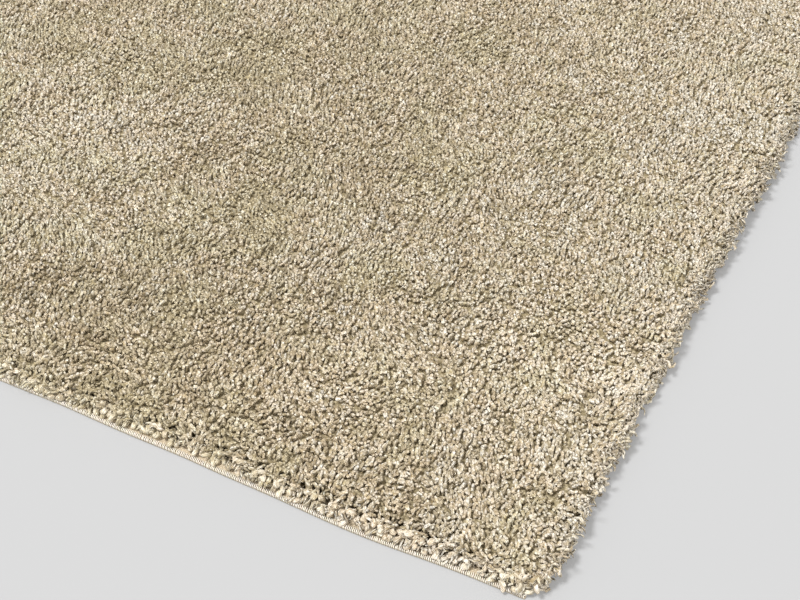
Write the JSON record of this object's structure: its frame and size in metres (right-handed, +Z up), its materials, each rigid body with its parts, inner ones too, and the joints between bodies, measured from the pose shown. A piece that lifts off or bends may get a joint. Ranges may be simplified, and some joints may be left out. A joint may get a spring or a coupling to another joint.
{
  "type": "shag rug",
  "caption": "Rectangular deep-pile shag rug lying flat: woven ground cloth with a bare strip and an overlocked edging at each end, under a lumpy pile with locks drooping round its rim",
  "frame": {"origin": "on the floor under the centre of the rug", "axes": "+Z up, X across the rug's width, Y along its length; the near end with its bare strip is at -Y"},
  "size_m": [1.2418, 1.7048, 0.0333],
  "materials": {
    "pile_yarn": "matt twisted yarn",
    "jute_cloth": "coarse plain weave",
    "binding_yarn": "overlocked yarn"
  },
  "bodies": {
    "root": {"ground_cloth": "jute_cloth", "pile": "pile_yarn", "edging_near": "binding_yarn", "edging_far": "binding_yarn"}
  },
  "joints": []
}
